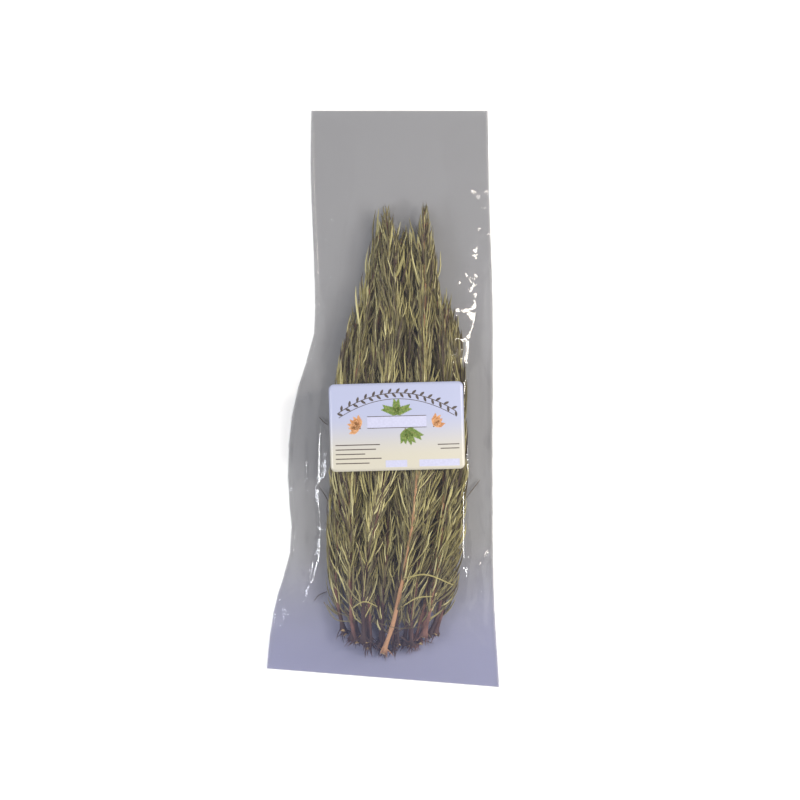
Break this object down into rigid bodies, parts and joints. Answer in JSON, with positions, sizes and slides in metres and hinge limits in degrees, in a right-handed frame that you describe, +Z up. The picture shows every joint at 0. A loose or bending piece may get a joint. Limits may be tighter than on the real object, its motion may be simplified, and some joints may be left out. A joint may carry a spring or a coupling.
{
  "type": "dried rosemary bundle",
  "caption": "Dried rosemary sprigs, cut stems at one end and tips at the other, lying in a clear flat gusseted film bag with a blank paper label.",
  "frame": {"origin": "on the surface that the bag lies on, under the middle of its box", "axes": "+Y along the bundle from the cut stems to the tips, +X to the right seen from above, +Z up through the front panel and its label"},
  "size_m": [0.175, 0.434, 0.0386],
  "materials": {
    "film": "clear polypropylene film, glossy, creased",
    "label_paper": "semi-gloss coated label paper",
    "bark": "dry flaking bark, matte",
    "needles": "dried leaf, matte with a faint waxy sheen"
  },
  "bodies": {
    "root": {"bag_back_film": "film", "bag_front_film": "film", "bag_gusset_left": "film", "bag_gusset_right": "film", "label": "label_paper", "sprig_01_leaves": "needles", "sprig_01_stem": "bark", "sprig_02_leaves": "needles", "sprig_02_stem": "bark", "sprig_03_leaves": "needles", "sprig_03_stem": "bark", "sprig_04_leaves": "needles", "sprig_04_stem": "bark", "sprig_05_leaves": "needles", "sprig_05_stem": "bark", "sprig_06_leaves": "needles", "sprig_06_stem": "bark", "sprig_07_leaves": "needles", "sprig_07_stem": "bark", "sprig_08_leaves": "needles", "sprig_08_stem": "bark", "sprig_09_leaves": "needles", "sprig_09_stem": "bark", "sprig_10_leaves": "needles", "sprig_10_stem": "bark", "sprig_11_leaves": "needles", "sprig_11_stem": "bark", "sprig_12_leaves": "needles", "sprig_12_stem": "bark", "sprig_13_leaves": "needles", "sprig_13_stem": "bark", "sprig_14_leaves": "needles", "sprig_14_stem": "bark", "sprig_15_leaves": "needles", "sprig_15_stem": "bark", "sprig_16_leaves": "needles", "sprig_16_stem": "bark", "sprig_17_leaves": "needles", "sprig_17_stem": "bark", "sprig_18_leaves": "needles", "sprig_18_stem": "bark", "sprig_19_leaves": "needles", "sprig_19_stem": "bark", "sprig_20_leaves": "needles", "sprig_20_stem": "bark", "sprig_21_leaves": "needles", "sprig_21_stem": "bark", "sprig_22_leaves": "needles", "sprig_22_stem": "bark", "sprig_23_leaves": "needles", "sprig_23_stem": "bark", "sprig_24_leaves": "needles", "sprig_24_stem": "bark"}
  },
  "joints": []
}
